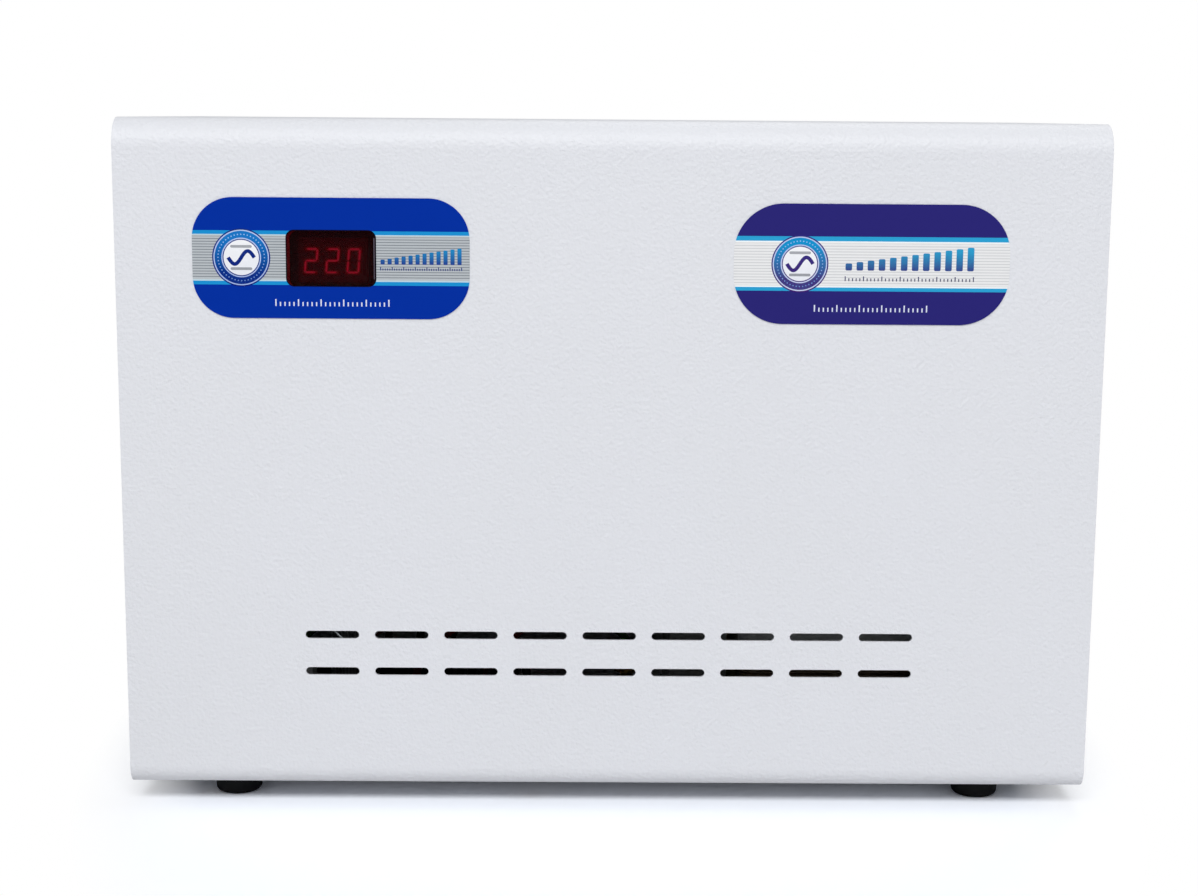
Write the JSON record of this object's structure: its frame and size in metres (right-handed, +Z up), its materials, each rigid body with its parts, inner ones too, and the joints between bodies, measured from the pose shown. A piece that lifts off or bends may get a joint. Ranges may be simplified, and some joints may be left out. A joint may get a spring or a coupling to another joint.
{
  "type": "voltage stabilizer",
  "caption": "Free-standing voltage stabilizer: folded sheet-metal cabinet with a tapped transformer, relay board, digit display, vents, rubber feet, rear breaker and cable glands.",
  "frame": {"origin": "middle of the cabinet's width and depth over all, on the plane that the feet stand on", "axes": "+X to the right of a person who faces the front, -Y out of the front, +Z up"},
  "size_m": [0.35, 0.1952, 0.25],
  "materials": {
    "powder_coat": "fine textured powder coat",
    "zinc_steel": "zinc plated",
    "black_rubber": "matte",
    "blue_label": "printed film, satin",
    "violet_label": "printed film, satin",
    "red_film": "clear red film",
    "dark_plastic": "moulded",
    "lit_segment": "lit from behind",
    "dark_segment": "unlit",
    "board_laminate": "solder resist",
    "coppered_steel": "copper flashed weld stud",
    "white_nylon": "moulded",
    "core_steel": "varnished silicon steel plates",
    "bobbin_plastic": "moulded",
    "enamelled_wire": "enamelled copper wire",
    "wrap_film": "polyester film",
    "painted_angle": "dip painted",
    "brass": "turned",
    "relay_plastic": "moulded",
    "capacitor_sleeve": "shrunk sleeve",
    "black_aluminium": "black anodised",
    "tinned_brass": "tinned",
    "black_phenolic": "moulded",
    "breaker_plastic": "moulded",
    "lever_plastic": "moulded",
    "gland_nylon": "moulded",
    "green_lead": "insulated lead",
    "red_lead": "insulated lead",
    "black_lead": "insulated lead",
    "grey_ribbon": "flat cable"
  },
  "bodies": {
    "cabinet": {"cover": "powder_coat", "left_side_panel": "powder_coat", "right_side_panel": "powder_coat", "rear_panel": "powder_coat", "press_nuts": "zinc_steel", "cover_screws": "zinc_steel", "rear_screws": "zinc_steel", "feet": "black_rubber", "foot_screws": "zinc_steel", "foot_nuts": "zinc_steel", "left_label": "blue_label", "right_label": "violet_label", "display_filter": "red_film", "display_module": "dark_plastic", "lit_segments": "lit_segment", "dark_segments": "dark_segment", "display_board": "board_laminate", "display_studs": "coppered_steel", "display_spacers": "white_nylon", "display_nuts": "zinc_steel", "e_plates": "core_steel", "i_plates": "core_steel", "bobbin": "bobbin_plastic", "winding": "enamelled_wire", "winding_wrap": "wrap_film", "clamp_angles": "painted_angle", "core_bolts": "zinc_steel", "core_nuts": "zinc_steel", "base_bolts": "zinc_steel", "base_nuts": "zinc_steel", "thermal_cutout": "dark_plastic", "control_board": "board_laminate", "board_pillars": "brass", "board_screws": "zinc_steel", "relays": "relay_plastic", "supply_core": "core_steel", "supply_coil": "wrap_film", "capacitors": "capacitor_sleeve", "controller_chip": "dark_plastic", "heat_sink": "black_aluminium", "regulator": "dark_plastic", "lead_tabs": "tinned_brass", "ribbon_socket": "white_nylon", "terminal_block": "black_phenolic", "terminal_clamps": "tinned_brass", "terminal_screws": "zinc_steel", "terminal_fixings": "zinc_steel", "breaker_bracket": "zinc_steel", "breaker_rail": "zinc_steel", "breaker_body": "breaker_plastic", "gland_bodies": "gland_nylon", "gland_nuts": "gland_nylon", "gland_seals": "black_rubber", "gland_caps": "gland_nylon", "earth_stud": "brass", "earth_lead": "green_lead", "tap_leads": "red_lead", "mains_leads": "black_lead", "display_ribbon": "grey_ribbon"},
    "lever": {"breaker_lever": "lever_plastic"}
  },
  "joints": [
    {"name": "breaker_toggle", "type": "hinge", "parent": "cabinet", "child": "lever", "pos_m": [-0.05, 0.07305, 0.154], "axis": [1, 0, 0], "range_deg": [-80, 0]}
  ]
}
